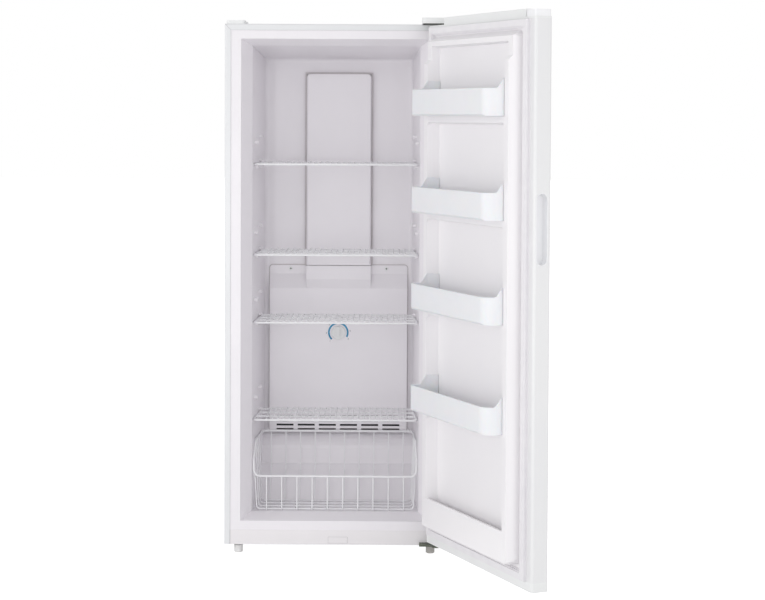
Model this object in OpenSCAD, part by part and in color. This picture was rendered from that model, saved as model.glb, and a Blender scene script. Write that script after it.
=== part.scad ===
// Upright frost-free freezer with its door open, four wire shelves, a wire basket and door bins.
// Millimetres, +Z up. The origin is on the floor at the middle of the steel cabinet's footprint.
// Inside the modules, x runs from the middle, y from the cabinet's front face into the cabinet,
// and z from the cabinet's bottom edge. The door is drawn shut and then turned about its pin.

/* [Cabinet] */
// Width of the steel cabinet
cab_w = 600; // [580:1:640]
// Height of the steel cabinet, without the feet
cab_h = 1413; // [1395:1:1500]
// Depth of the steel cabinet, without the door
cab_d = 500; // [485:1:560]
// Height of the cabinet's bottom edge above the floor
foot_h = 26; // [24:1:32]
// Thickness of the sheet steel
sheet_t = 0.8; // [0.6:0.1:1.2]
// Width of the steel return round the front
return_w = 16.8; // [12:0.2:20]
// Height of the steel rail across the bottom of the front
rail_h = 39.6; // [36:0.2:44]
// Rounding of the cabinet's outer edges
cab_r = 4; // [2:0.5:6]

/* [Compartment] */
// Thickness of the moulded inner liner
liner_t = 2; // [1.5:0.1:2.5]
// Width of the liner's front flange at the sides
flange_w = 27; // [24:0.5:30]
// Width of the liner's front flange at the top
flange_top = 23; // [20:0.5:26]
// Height of the liner's front flange at the bottom
flange_low = 24.6; // [22:0.2:28]
// Depth of the tapered throat behind the front flange
throat_d = 60; // [50:1:66]
// How far the throat narrows the compartment at each side
throat_in = 27; // [22:0.5:30]
// How far the throat lowers the ceiling
throat_top = 17.2; // [14:0.2:20]
// How far the throat raises the floor
throat_low = 14.2; // [12:0.2:18]
// Distance from the compartment's back wall to the cabinet's back
back_d = 155; // [145:1:165]
// How far each side wall draws in towards the back
side_taper = 15; // [10:1:18]
// How far the ceiling falls towards the back
ceiling_drop = 24; // [16:1:30]
// Rounding of the compartment's back corners
corner_r = 13; // [8:1:16]
// Depth of the flat floor, in front of the hump over the compressor
floor_d = 220; // [212:1:228]
// Distance from the hump's upright face to the compartment's back wall
hump_d = 51; // [45:1:55]
// Height of the hump above the cabinet's bottom edge
hump_z = 248; // [244:1:252]
// Rounding of the hump's front edge
hump_r = 38; // [25:1:42]

/* [Cooling] */
// How far the evaporator's recess stays inside its cover, each side
recess_rim = 10.5; // [8:0.5:18]
// Height of the evaporator recess's floor
recess_low = 262; // [258:1:266]
// Depth of the evaporator's recess behind the back wall
recess_d = 85; // [80:1:95]
// Gap between the evaporator cover and the compartment's side walls, at the back
cover_side = 15.7; // [14.2:0.1:20]
// Height of the evaporator cover's lower edge
cover_low = 255.5; // [253:0.5:260]
// Height of the evaporator cover's upper edge
cover_top = 735; // [725:1:745]
// How far the evaporator cover stands off the back wall
cover_off = 15; // [12:0.5:18]
// Height of the flat screw flange along the cover's upper edge
cover_flange = 25; // [20:1:30]
// Thickness of the moulded covers
cover_t = 2.5; // [2:0.1:3]
// Width of the air duct's cover
duct_w = 185.6; // [170:0.2:190]
// Distance from the ceiling down to the air duct cover's upper edge
duct_drop = 46.5; // [32:0.5:72]
// How far the air duct's cover stands off the back wall
duct_off = 23; // [20:0.5:28]
// How far the dark seal shows beside the air duct's cover
duct_seal = 5; // [3:0.5:8]
// Length of one return-air slot
vent_l = 49; // [40:1:52]
// Height of one return-air slot
vent_h = 5.6; // [4:0.2:7]
// Spacing of the return-air slots across the cover
vent_pitch_x = 61.2; // [58:0.2:62]
// Spacing of the rows of return-air slots
vent_pitch_z = 12.5; // [11:0.5:14]
// Height of the lowest row of return-air slots
vent_z = 260.5; // [260:0.5:268]
// Height of the thermostat knob
knob_z = 541; // [530:1:550]
// Diameter of the thermostat knob
knob_d = 40; // [30:1:46]
// Diameter of the evaporator fan
fan_d = 108; // [90:1:112]
// Number of the evaporator's fins
fins = 23; // [12:1:25]

/* [Shelves and basket] */
// Heights of the four shelves' front wires
shelf_z = [1032.4, 783.8, 597.6, 329.3];
// Heights of the spare shelf supports
spare_z = [1092, 842, 656, 384];
// Thickness of the shelves' frame wires
frame_wire = 5.6; // [5:0.1:6]
// Thickness of the shelves' front-to-back wires
thin_wire = 3; // [2.4:0.1:3.4]
// Depth of a shelf
shelf_d = 204; // [196:1:215]
// Spacing of the shelves' front-to-back wires
shelf_pitch = 15.8; // [13:0.2:24]
// Clearance between the front of a shelf and the throat
shelf_gap = 3; // [2:0.5:6]
// Distance from the cabinet's front face to the front supports
nub_y = 120; // [110:1:130]
// Distance from a front support back to its rear support
nub_step = 95; // [85:1:105]
// Diameter of a shelf support
nub_d = 9; // [8:0.5:10]
// Gap between the basket's rear rail and the hump's upright face
basket_gap = 25; // [19:1:35]
// Depth of the basket's floor
basket_floor_d = 140; // [132:1:144]
// Height of the basket's front rail above the basket's floor
basket_front = 94; // [80:1:110]
// Height of the basket's rear rail above the basket's floor
basket_back = 186; // [170:1:192]
// Spacing of the basket's upright wires
basket_pitch = 41.9; // [36:0.1:46]
// Thickness of the basket's thin wires
basket_wire = 3.4; // [3:0.1:4]

/* [Door] */
// Angle at which the door stands open
door_open = 114; // [100:1:118]
// Thickness of the door without its seal
door_t = 47; // [45:1:52]
// Gap between the cabinet's front face and the shut door
door_gap = 12; // [11:0.5:14]
// Distance of the door's lower edge above the cabinet's lower edge
door_low = 17; // [15:1:20]
// How far the door stands above the cabinet
door_over = 13; // [11:1:16]
// Distance of the hinge pin from the cabinet's side
pin_x = 20; // [18:1:22]
// Distance of the hinge pin behind the door's inner face
pin_y = 25; // [23:1:27]
// Diameter of the hinge pins
pin_d = 8; // [7:0.5:9]
// Radial clearance of the hinge pins in their bushings
pin_fit = 0.05; // [0.02:0.01:0.1]
// Height of the plastic caps at the door's top and bottom
cap_h = 24; // [22:0.5:27]
// Width of the steel return round the door's inner face
door_return = 24; // [20:0.5:24]
// Width of the door seal
seal_w = 23.5; // [18:0.5:24]
// Gap left between the shut door's seal and the cabinet
seal_gap = 0.3; // [0.1:0.1:1]
// Gap at each side between the shut door's raised border and the cabinet's mouth
dike_gap = 10.2; // [8.2:0.1:16]
// Height of the raised border above the door's inner face
dike_n = 40; // [34:1:41]
// Width of the raised border's flat crest at the sides
dike_w = 20; // [16:1:24]
// How much lower the border's crest is at the top of the door
dike_step = 11; // [6:1:14]
// Height of the door liner's recessed panels above the door's inner face
pan_n = 8; // [5:1:12]
// Thickness of the ledges under the bins
ledge_t = 16; // [12:1:20]
// Length of the grip pocket
grip_l = 176.5; // [140:0.5:200]
// Width of the grip pocket
grip_w = 33; // [28:0.5:35]
// Depth of the grip pocket
grip_d = 26; // [20:1:30]
// Height of the middle of the grip pocket
grip_z = 895; // [800:1:980]

/* [Door bins] */
// Heights of the undersides of the four bins
bin_z = [1167, 913, 659, 391];
// Height of a bin's front
bin_h = 67; // [50:1:80]
// How much a bin's end walls rise towards the door
bin_rise = 24; // [10:1:30]
// Reach of a bin from the door's inner face
bin_n = 88; // [80:1:90]
// Thickness of a bin's walls
bin_t = 2.5; // [2:0.1:3.5]
// Rounding of a bin's corner on the handle side
bin_r = 32; // [16:1:40]
// Height of the guard of the moulded pocket at the door's foot
pocket_top = 154; // [140:1:165]
// Height of the moulded pocket's floor
pocket_low = 96; // [92:1:104]
// Thickness of the moulded pocket's guard
guard_t = 7; // [6.5:0.5:9]

/* [Hidden] */
$fn = 24;
bend_fn = 20;
white = [0.93, 0.94, 0.94];
liner_white = [0.88, 0.88, 0.90];
grey = [0.62, 0.63, 0.65];
zinc = [0.55, 0.56, 0.50];
dark = [0.16, 0.16, 0.17];
copper = [0.72, 0.45, 0.30];
eps = 0.01;
// how much thinner a straight is than its bends, each side, and how far it reaches into them
swage = 0.1;
lap = 0.5;
seat = 0.3;
half = cab_w / 2;
inner_d = cab_d - back_d;
hump_y = inner_d - hump_d;
mouth_x = half - return_w - flange_w;
mouth_top = cab_h - return_w - flange_top;
mouth_low = rail_h + flange_low;
in_x = mouth_x - throat_in;
in_top = mouth_top - throat_top;
floor_z = mouth_low + throat_low;
back_x = in_x - side_taper;
ceiling_z = in_top - ceiling_drop;
cover_w = 2 * (back_x - cover_side);
recess_x = cover_w / 2 - recess_rim;
cap_x = cover_w / 2 - 60.5;
duct_top = ceiling_z - duct_drop;
dike_x = mouth_x - dike_gap;
skin_y = sheet_t;
foam_front = skin_y + liner_t;
foam_back = cab_d - 2 * sheet_t;
rear_lip = 14;
base_z = 14;
base_t = 2;
deck_z = 195;
deck_front = floor_d + 52;
deck_y = hump_y + 51;
recess_top = cover_top - 12;
recess_y = inner_d + recess_d;
duct_recess_y = inner_d + 25;
fan_z = recess_top - fan_d / 2 - 22;
shelf_y = throat_d + shelf_gap;
basket_d = hump_y - basket_gap - shelf_y;
pivot = [half - pin_x, -door_gap - pin_y];
door_top = cab_h + door_over;
foot_at = [half - 38, 25];
foot_d = 24;
stem_d = 8;
roller_at = [half - 30, cab_d - 42];
axle_d = 5;
drain_at = [-60, inner_d + 35];
suction_at = [-150, recess_y - 16];
capillary_at = [-120, recess_y - 6];
comp_front = 9;
comp_back = 10.4;
comp_d = foam_back - deck_y - comp_front - comp_back;
comp_at = [110, deck_y + comp_front + comp_d / 2];
comp_top = 172;
suction_z = 122;
discharge_y = comp_at.y + 23;
discharge_z = 130;
side_draft = side_taper / (inner_d - throat_d);

// half width of the compartment at a depth behind the throat
function wall_x(y) = in_x - (y - throat_d) * side_draft;
// points along an arc, in degrees
function arc(c, r, a0, a1, n = 5) =
    [for (i = [0:n]) c + r * [cos(a0 + (a1 - a0) * i / n), sin(a0 + (a1 - a0) * i / n)]];
// outline of a centred rectangle with round corners
function rounded(w, h, r, n = 5) = concat(
    arc([w / 2 - r, h / 2 - r], r, 0, 90, n), arc([r - w / 2, h / 2 - r], r, 90, 180, n),
    arc([r - w / 2, r - h / 2], r, 180, 270, n), arc([w / 2 - r, r - h / 2], r, 270, 360, n));

module place() {
    translate([0, -cab_d / 2, foot_h]) children();
}
// turns a piece of the shut door about the pin, into its open place
module on_door() {
    place() translate([pivot.x, pivot.y, 0]) rotate(door_open)
        translate([-pivot.x, -pivot.y, 0]) children();
}
// a box from one corner to the other
module block(a, b) {
    translate(a) cube(b - a);
}
// a side view in y and z, pulled from x0 to x1
module side_view(points, x0, x1) {
    translate([x0, 0, 0]) rotate([90, 0, 90]) linear_extrude(x1 - x0) polygon(points);
}
// a plan in x and y, pulled from z0 to z1
module plan_view(points, z0, z1) {
    translate([0, 0, z0]) linear_extrude(z1 - z0) polygon(points);
}
// a front view in x and z, pulled from y0 to y1
module front_view(points, y0, y1) {
    translate([0, y1, 0]) rotate([90, 0, 0]) linear_extrude(y1 - y0) polygon(points);
}
// a straight rod between two points
module rod(a, b, d, n = 0) {
    v = b - a;
    l = norm(v);
    translate(a) rotate([0, acos(v.z / l), atan2(v.y, v.x)]) rotate(n > 0 ? 180 / n : 0)
        cylinder(h = l, d = d, $fn = n > 0 ? n : $fn);
}
// a wire in the XY plane through the points, open or a closed loop, with round bends of radius rb;
// its straights are a trace thinner and reach a little into the bends
module bent_wire(p, rb, d, n = 0, closed = false) {
    count = len(p);
    last = count - 1;
    ends = closed ? 0 : 1;
    thin = d - 2 * swage;
    function at(i) = p[(i + count) % count];
    function dir(i) = (at(i + 1) - at(i)) / norm(at(i + 1) - at(i));
    function turn(i) = acos(max(-1, min(1, dir(i - 1) * dir(i))));
    function bends(i) = closed || (i > 0 && i < last);
    function run(i) = bends(i) ? rb * tan(turn((i + count) % count) / 2) : 0;
    for (i = [0:last - ends]) {
        a = at(i) + dir(i) * (run(i) - (bends(i) ? lap : 0));
        b = at(i + 1) - dir(i) * (run(i + 1) - (bends(i + 1) ? lap : 0));
        rod([a.x, a.y, 0], [b.x, b.y, 0], thin, n);
    }
    for (i = [ends:1:last - ends]) {
        u = dir(i - 1);
        v = dir(i);
        left = u.x * v.y - u.y * v.x > 0;
        s = at(i) - u * run(i);
        c = s + (left ? [-u.y, u.x] : [u.y, -u.x]) * rb;
        w = s - c;
        translate([c.x, c.y, 0]) rotate(atan2(w.y, w.x) - (left ? 0 : turn(i)))
            rotate_extrude(angle = turn(i), $fn = bend_fn) translate([rb, 0])
                rotate(n > 0 ? 90 - 180 / n : 0) circle(d = d, $fn = n > 0 ? n : $fn);
    }
}

// the compartment's hollow, grown by t all round
module hollow(t) {
    plan = concat([[-mouth_x - t, -2], [-mouth_x - t, 0], [-in_x - t, throat_d]],
        arc([-back_x + corner_r, inner_d - corner_r], corner_r + t, 180, 90),
        arc([back_x - corner_r, inner_d - corner_r], corner_r + t, 90, 0),
        [[in_x + t, throat_d], [mouth_x + t, 0], [mouth_x + t, -2]]);
    side = concat([[-2, mouth_low - t], [0, mouth_low - t], [throat_d, floor_z - t],
            [floor_d, floor_z - t], [hump_y + t, hump_z - hump_r - 42]],
        arc([hump_y + hump_r, hump_z - hump_r], hump_r - t, 180, 90, 6),
        [[inner_d + t, hump_z - t]],
        arc([inner_d - corner_r, ceiling_z - corner_r], corner_r + t, 0, 90),
        [[throat_d, in_top + t], [0, mouth_top + t], [-2, mouth_top + t]]);
    intersection() {
        plan_view(plan, 0, cab_h);
        side_view(side, -half, half);
    }
    block([-recess_x - t, inner_d - 1, recess_low - t], [recess_x + t, recess_y + t, recess_top + t]);
    block([-duct_w / 2 + 12 - t, inner_d - 1, recess_top - 5],
        [duct_w / 2 - 12 + t, duct_recess_y + t, duct_top - 20 + t]);
}
// the cabinet's outside, with its edges rounded, drawn in by t
module cabinet_form(t) {
    r = cab_r - t;
    x = half - t;
    intersection() {
        plan_view(concat([[x, cab_d - t], [-x, cab_d - t]], arc([r - x, cab_r], r, 180, 270, 3),
            arc([x - r, cab_r], r, 270, 360, 3)), -t, cab_h);
        front_view(concat([[-x, -t], [x, -t]], arc([x - r, cab_h - cab_r], r, 0, 90, 3),
            arc([r - x, cab_h - cab_r], r, 90, 180, 3)), t, cab_d);
        side_view(concat([[t, -t], [cab_d - t, -t], [cab_d - t, cab_h - t]],
            arc([cab_r, cab_h - cab_r], r, 90, 180, 3)), -half, half);
    }
}
module outer_wrapper() {
    color(white) place() difference() {
        cabinet_form(0);
        cabinet_form(sheet_t);
        block([return_w - half, -1, -1], [half - return_w, cab_d / 2, cab_h - return_w]);
        block([rear_lip - half, cab_d / 2, -1], [half - rear_lip, cab_d + 1, cab_h - rear_lip]);
    }
}
module bottom_rail() {
    color(white) place() {
        block([return_w - half, 0, 0], [half - return_w, sheet_t, rail_h]);
        block([return_w - half, sheet_t - eps, 0], [half - return_w, 12, sheet_t]);
    }
}
module back_panel() {
    y = cab_d - 2 * sheet_t;
    color(grey) place() intersection() {
        cabinet_form(sheet_t);
        block([-half, y, deck_z], [half, cab_d, cab_h]);
    }
}
// side view of the folded sheet under the foam, grown upwards by t
function deck(t) = [[foam_front, base_z + t], [deck_front, base_z + t],
    [deck_y - t, deck_z - 58], [deck_y - t, deck_z + t], [foam_back, deck_z + t]];
module machine_bulkhead() {
    low = deck(0);
    high = deck(sheet_t);
    color(grey) place() difference() {
        side_view(concat(low, [for (i = [len(high) - 1:-1:0]) high[i]]),
            sheet_t - half, half - sheet_t);
        for (q = tube_holes()) translate([q.x, q.y, deck_z - 1]) cylinder(h = 4, d = q.z);
    }
}
// places and diameters of the holes for the drain and the two refrigerant tubes
function tube_holes() = [[drain_at.x, drain_at.y, 18.6], [suction_at.x, suction_at.y, 8.6],
    [capillary_at.x, capillary_at.y, 3.2]];
module foam_insulation() {
    body = concat(deck(sheet_t), [[foam_back, cab_h - sheet_t], [foam_front, cab_h - sheet_t]]);
    color([0.93, 0.86, 0.62]) place() difference() {
        intersection() {
            cabinet_form(sheet_t);
            side_view(body, -half, half);
        }
        hollow(liner_t);
        for (q = tube_holes()) translate([q.x, q.y, deck_z - 1]) cylinder(h = 90, d = q.z);
    }
}
// the rear studs stand higher, so that a shelf's side wires run between them and the low studs
nub_lift = nub_d + frame_wire + 2 * seat;
// heights of all front studs, used and spare
function support_z() = concat([for (z = shelf_z) z - nub_lift / 2], spare_z);
module inner_liner() {
    color(liner_white) place() difference() {
        union() {
            difference() {
                union() {
                    intersection() {
                        cabinet_form(sheet_t);
                        block([-half, skin_y, rail_h - 12], [half, foam_front, cab_h]);
                    }
                    intersection() {
                        hollow(liner_t);
                        block([-half, foam_front - eps, 0], [half, cab_d, cab_h]);
                    }
                }
                hollow(0);
            }
            intersection() {
                hollow(eps);
                for (side = [-1, 1]) {
                    for (z = support_z(), k = [0, 1])
                        support(side, nub_y + k * nub_step, z + k * nub_lift);
                    for (z = shelf_z) support(side, nub_y + nub_step, z - nub_lift / 2);
                }
            }
        }
        for (q = tube_holes()) translate([q.x, q.y, recess_low - 5]) cylinder(h = 10, d = q.z);
    }
}
// one moulded stud on a side wall
module support(side, y, z) {
    reach = 9;
    x = wall_x(y) - reach;
    translate([side * x, y, z]) rotate([0, side * 90, 0]) cylinder(h = reach + 8, d = nub_d, $fn = 12);
}

module compressor_base() {
    front = deck_front - 2;
    x = half - sheet_t;
    color(grey) place() difference() {
        union() {
            block([-x, front, 0], [x, cab_d - sheet_t, base_t]);
            block([-x, front, base_t - eps], [x, front + base_t, base_z]);
        }
        for (q = grommet_points()) translate([q.x, q.y, -1]) cylinder(h = 4, d = 9);
    }
}
function grommet_points() =
    [for (sx = [-1, 1], sy = [-1, 1]) [comp_at.x + sx * 85, comp_at.y + sy * 42]];
module compressor_grommets() {
    color(dark) place() for (q = grommet_points()) translate([q.x, q.y, 2])
        rotate_extrude() polygon([[4.2, 0], [9, 0], [9, 3], [7, 5], [9, 7], [9, 10], [4.2, 10]]);
}
module compressor() {
    r = comp_d / 2;
    color(dark) place() translate([comp_at.x, comp_at.y, 0]) {
        difference() {
            block([-100, -54, 12], [100, 54, 15]);
            for (sx = [-1, 1], sy = [-1, 1])
                translate([sx * 85, sy * 42, 11]) cylinder(h = 5, d = 7);
        }
        rotate_extrude() polygon(concat([[0, 15 - eps], [r - 14, 15 - eps]],
            arc([r - 14, 34], 14, -60, 0), [[r, 92], [r + 4, 92], [r + 4, 97], [r, 97]],
            arc([r - 42, comp_top - 46], 42, 0, 80, 8), [[0, comp_top]]));
        for (sx = [-1, 1], sy = [-1, 1]) translate([sx * 85, sy * 42, 2 + seat]) cylinder(h = 16, d = 7.6);
        translate([-r - 14, suction_at.y - comp_at.y, suction_z]) rotate([0, 90, 0])
            cylinder(h = 30, d = 8, $fn = 8);
        translate([r - 30, discharge_y - comp_at.y, discharge_z]) rotate([0, 90, 0])
            cylinder(h = 44, d = 6, $fn = 8);
    }
}
module terminal_box() {
    x = comp_at.x + comp_d / 2 + seat;
    color(dark) place() difference() {
        block([x, comp_at.y - 30, 44], [x + 34, comp_at.y + 30, 88]);
        block([x + 28, comp_at.y - 26, 48], [x + 35, comp_at.y + 26, 84]);
    }
}
// the static condenser behind the cabinet: a tube folded to and fro under upright wires
cond_d = 4.8;
cond_y = cab_d + 14;
cond_low = 262;
cond_rows = 13;
cond_pitch = 80;
cond_bend = 23;
cond_wires = 7;
cond_gap = 29;
cond_x = half - 62;
cond_in_z = deck_z - 13;
cond_out_z = deck_z - 25;
cond_out_x = -cond_x - 24;
cond_high = cond_low + (cond_rows - 1) * cond_pitch;
module condenser() {
    folds = [for (i = [0:cond_rows - 1], k = [0, 1])
        [(i + k) % 2 == 0 ? cond_x : -cond_x, cond_low + i * cond_pitch]];
    inner = [for (i = [0:len(folds) - 2]) folds[i]];
    route = concat([[cond_x, cond_in_z]], inner, [[cond_out_x, cond_high], [cond_out_x, cond_out_z]]);
    color(dark) place() {
        translate([0, cond_y, 0]) rotate([90, 0, 0]) bent_wire(route, cond_bend, cond_d, 8);
        rod([cond_x, cond_y + 2, cond_in_z], [cond_x, discharge_y - 4, cond_in_z], cond_d, 8);
        rod([cond_out_x, cond_y + 2, cond_out_z], [cond_out_x, capillary_at.y - 4, cond_out_z],
            cond_d, 8);
        for (i = [-cond_wires:cond_wires]) rod([i * cond_gap, cond_y - 2.5, cond_low - 24],
            [i * cond_gap, cond_y - 2.5, cond_high + 24], 2, 4);
        for (side = [-1, 1], z = [cond_low + cond_pitch, cond_high - cond_pitch])
            translate([side * cond_wires * cond_gap, 0, z])
                block([-4, cab_d - sheet_t, -13], [4, cond_y + 1, 13]);
    }
}
module discharge_tube() {
    start = comp_at.x + comp_d / 2 + 14 + seat;
    color(copper) place() translate([0, discharge_y, 0]) rotate([90, 0, 0])
        bent_wire([[start, discharge_z], [cond_x, discharge_z],
            [cond_x, cond_in_z - cond_d / 2 - seat]], 14, cond_d, 8);
}
drier_low = 66;
module filter_drier() {
    high = cond_out_z - cond_d / 2 - seat;
    color(copper) place() translate([cond_out_x, capillary_at.y, 0]) rotate_extrude()
        polygon([[0, drier_low], [2.4, drier_low], [2.4, drier_low + 8], [9.5, drier_low + 16],
            [9.5, high - 16], [2.4, high - 8], [2.4, high], [0, high]]);
}
// height at which the evaporator's two stubs meet the tubes from below
stub_z = recess_low + 24;
module capillary_tube() {
    z = drier_low - 18;
    color(copper) place() translate([0, capillary_at.y, 0]) rotate([90, 0, 0])
        bent_wire([[cond_out_x, drier_low - seat], [cond_out_x, z], [capillary_at.x, z],
            [capillary_at.x, stub_z - seat]], 12, 2.4, 8);
}
module suction_tube() {
    finish = comp_at.x - comp_d / 2 - 14 - seat;
    color(copper) place() translate([0, suction_at.y, 0]) rotate([90, 0, 0])
        bent_wire([[suction_at.x, stub_z - seat], [suction_at.x, suction_z],
            [finish, suction_z]], 20, 8, 8);
}
pan_h = 34;
module drain_pan() {
    a = [drain_at.x - 120, deck_y + 18, base_t];
    b = [comp_at.x - 106, cab_d - 30, base_t + pan_h];
    color(dark) place() difference() {
        block(a, b);
        block(a + [2, 2, 2], b + [-2, -2, 1]);
    }
}
module drain_tube() {
    low = base_t + pan_h + 10;
    color(liner_white) place() translate([drain_at.x, drain_at.y, 0]) rotate_extrude()
        polygon([[7.5, low], [9, low], [9, recess_low], [13, recess_low],
            [13, recess_low + 2], [7.5, recess_low + 2]]);
}
cord_at = [-210, 60];
module compressor_cover() {
    y = cab_d - 2 * sheet_t;
    top = deck_z - seat;
    color(grey) place() difference() {
        block([sheet_t - half, y, base_t], [half - sheet_t, y + sheet_t, top]);
        for (x = [-130:52:180], z = [44:20:144]) block([x, y - 1, z], [x + 40, y + 2, z + 7]);
        for (q = [[cond_x, cond_in_z], [cond_out_x, cond_out_z]])
            translate([q.x, y + 2, q.y]) rotate([90, 0, 0]) cylinder(h = 4, d = cond_d + 2);
        translate([cord_at.x, y + 2, cord_at.y]) rotate([90, 0, 0]) cylinder(h = 4, d = 16);
    }
}
// the bushing through which the supply lead enters
module cord_inlet() {
    y = cab_d - 2 * sheet_t;
    color(dark) place() translate([cord_at.x, y, cord_at.y]) rotate([-90, 0, 0]) rotate_extrude()
        polygon([[4, -6], [7.8, -6], [7.8, sheet_t + 0.2], [11, sheet_t + 0.2],
            [11, 4], [8, 6], [4, 6]]);
}

coil_low = recess_low + 46;
coil_high = coil_low + 200;
coil_x = recess_x - 40;
coil_y = [inner_d + 14, recess_y - 8];
coil_rows = 8;
// fins cut from both faces of a block that the tube's passes run through
module evaporator_coil() {
    mid = (coil_y[0] + coil_y[1]) / 2;
    pitch = 2 * coil_x / (fins - 1);
    fin = 1.2;
    tube_d = 9;
    row = (coil_high - coil_low) / coil_rows;
    teeth = [for (i = [0:fins - 1]) let (x = i * pitch - coil_x)
        [[x - fin, mid - 7], [x - fin, coil_y[0]], [x + fin, coil_y[0]], [x + fin, mid - 7]]];
    backs = [for (i = [fins - 1:-1:0]) let (x = i * pitch - coil_x)
        [[x + fin, mid + 7], [x + fin, coil_y[1]], [x - fin, coil_y[1]], [x - fin, mid + 7]]];
    color([0.75, 0.77, 0.79]) place() {
        plan_view([for (t = concat(teeth, backs)) each t], coil_low, coil_high);
        for (i = [0:coil_rows - 2], side = [-1, 1])
            if ((i % 2 == 0) == (side > 0))
                translate([side * coil_x, mid, coil_low + (i + 1) * row]) rotate([90, 0, 0])
                    rotate(side > 0 ? -90 : 90) rotate_extrude(angle = 180, $fn = bend_fn)
                        translate([row / 2, 0]) rotate(22.5) circle(d = tube_d, $fn = 8);
        for (q = [[suction_at, 8], [capillary_at, 2.4]])
            rod([q[0].x, coil_y[1] - 5, coil_low + 5], [q[0].x, q[0].y, stub_z], q[1], 8);
    }
}
module defrost_heater() {
    z = recess_low + 34;
    y = (inner_d + recess_y) / 2 - 6;
    x = recess_x - seat;
    color([0.80, 0.80, 0.82]) place() {
        rod([16 - x, y, z], [x - 16, y, z], 8);
        for (side = [-1, 1]) rod([side * (x - 17), y, z], [side * x, y, z], 13);
    }
}
module drain_trough() {
    a = [seat - recess_x, inner_d + 6, recess_low + 2];
    b = [recess_x - seat, suction_at.y - 8, recess_low + 16];
    color([0.75, 0.77, 0.79]) place() difference() {
        block(a, b);
        block(a + [1, 1, 1], b + [-1, -1, 1]);
        translate([drain_at.x, drain_at.y, a.z - 1]) cylinder(h = 3, d = 14);
    }
}
shroud_y = inner_d + 36;
fan_gap = 3;
module fan_shroud() {
    low = knob_z + 30;
    color(white) place() difference() {
        union() {
            block([seat - recess_x, shroud_y, low], [recess_x - seat, shroud_y + 2.5, recess_top - seat]);
            block([seat - recess_x, inner_d + 1, low], [recess_x - seat, shroud_y + 1, low + 2.5]);
            translate([0, shroud_y + 16, fan_z]) rotate([90, 0, 0])
                cylinder(h = 15, d = fan_d + 2 * fan_gap + 5);
        }
        translate([0, shroud_y + 20, fan_z]) rotate([90, 0, 0]) cylinder(h = 40, d = fan_d + 2 * fan_gap);
    }
}
shaft_d = 4;
module fan_motor() {
    reach = fan_d / 2 + fan_gap + 12;
    color(dark) place() translate([0, 0, fan_z]) {
        translate([0, shroud_y + 46, 0]) rotate([90, 0, 0]) cylinder(h = 24, d = 44);
        translate([0, shroud_y + 24, 0]) rotate([90, 0, 0]) cylinder(h = 30, d = shaft_d);
        for (a = [30:120:270]) rotate([0, a, 0]) {
            block([18, shroud_y + 24, -5], [reach, shroud_y + 26, 5]);
            block([reach - 3, shroud_y + 2.5, -5], [reach, shroud_y + 26, 5]);
        }
    }
}
blades = 5;
module evaporator_fan() {
    hub_d = 30;
    color(grey) place() translate([0, shroud_y + 17, fan_z]) rotate([90, 0, 0]) {
        difference() {
            union() {
                cylinder(h = 14, d = hub_d);
                intersection() {
                    difference() {
                        cylinder(h = 14, d = fan_d);
                        translate([0, 0, -1]) cylinder(h = 16, d = hub_d - 4);
                    }
                    for (i = [0:blades - 1]) rotate(i * 360 / blades)
                        translate([0, 0, 7]) rotate([28, 0, 0]) block([0, -24, -1], [fan_d, 24, 1]);
                }
            }
            translate([0, 0, -1]) cylinder(h = 16, d = shaft_d + 0.1);
        }
    }
}
cover_y = inner_d - cover_off;
module evaporator_cover() {
    x = cover_w / 2;
    wall = inner_d - seat;
    step_low = cover_top - cover_flange - 41;
    step_high = cover_top - cover_flange;
    flange_y = wall - cover_t - 0.5;
    outer = concat([[wall, cover_low], [cover_y + 6, cover_low]],
        arc([cover_y + 6, cover_low + 6], 6, 270, 180), [[cover_y, step_low],
        [flange_y, step_high], [flange_y, cover_top], [wall, cover_top]]);
    inner = [[wall + 1, cover_low + cover_t], [cover_y + 6, cover_low + cover_t],
        [cover_y + cover_t, cover_low + 6], [cover_y + cover_t, step_low - 2],
        [flange_y + cover_t, step_high - 4], [wall + 1, step_high - 4]];
    foot_x = duct_w / 2;
    foot_top = cover_top - 40;
    foot_end = foot_top - 26;
    color(liner_white) place() difference() {
        union() {
            intersection() {
                side_view(outer, -x, x);
                translate([0, 0, (cover_low + cover_top) / 2])
                    front_view(rounded(cover_w, cover_top - cover_low, 9), cover_y - 1, wall + 1);
            }
            side_view([[wall - 1, foot_end], [cover_y, foot_end], [duct_y, foot_top],
                [duct_y, cover_top], [wall - 1, cover_top]], -foot_x, foot_x);
        }
        side_view([[wall + 1, foot_end + 3], [cover_y + cover_t, foot_end + 3],
            [duct_y + cover_t, foot_top + 1], [duct_y + cover_t, cover_top - cover_t],
            [wall + 1, cover_top - cover_t]], cover_t - foot_x, foot_x - cover_t);
        side_view(inner, cover_t - x, x - cover_t);
        for (i = [0:5], k = [0:3]) {
            x0 = (i - 2.5) * vent_pitch_x - vent_l / 2;
            z0 = vent_z - vent_h / 2 + k * vent_pitch_z;
            block([x0, cover_y - 1, z0], [x0 + vent_l, cover_y + 8, z0 + vent_h]);
        }
        translate([0, cover_y + 8, knob_z]) rotate([90, 0, 0]) cylinder(h = 10, d = 12);
        for (side = [-1, 1]) translate([side * cap_x, wall + 1, cover_top - 10])
            rotate([90, 0, 0]) cylinder(h = 8, d = 4.4);
    }
}
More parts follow.
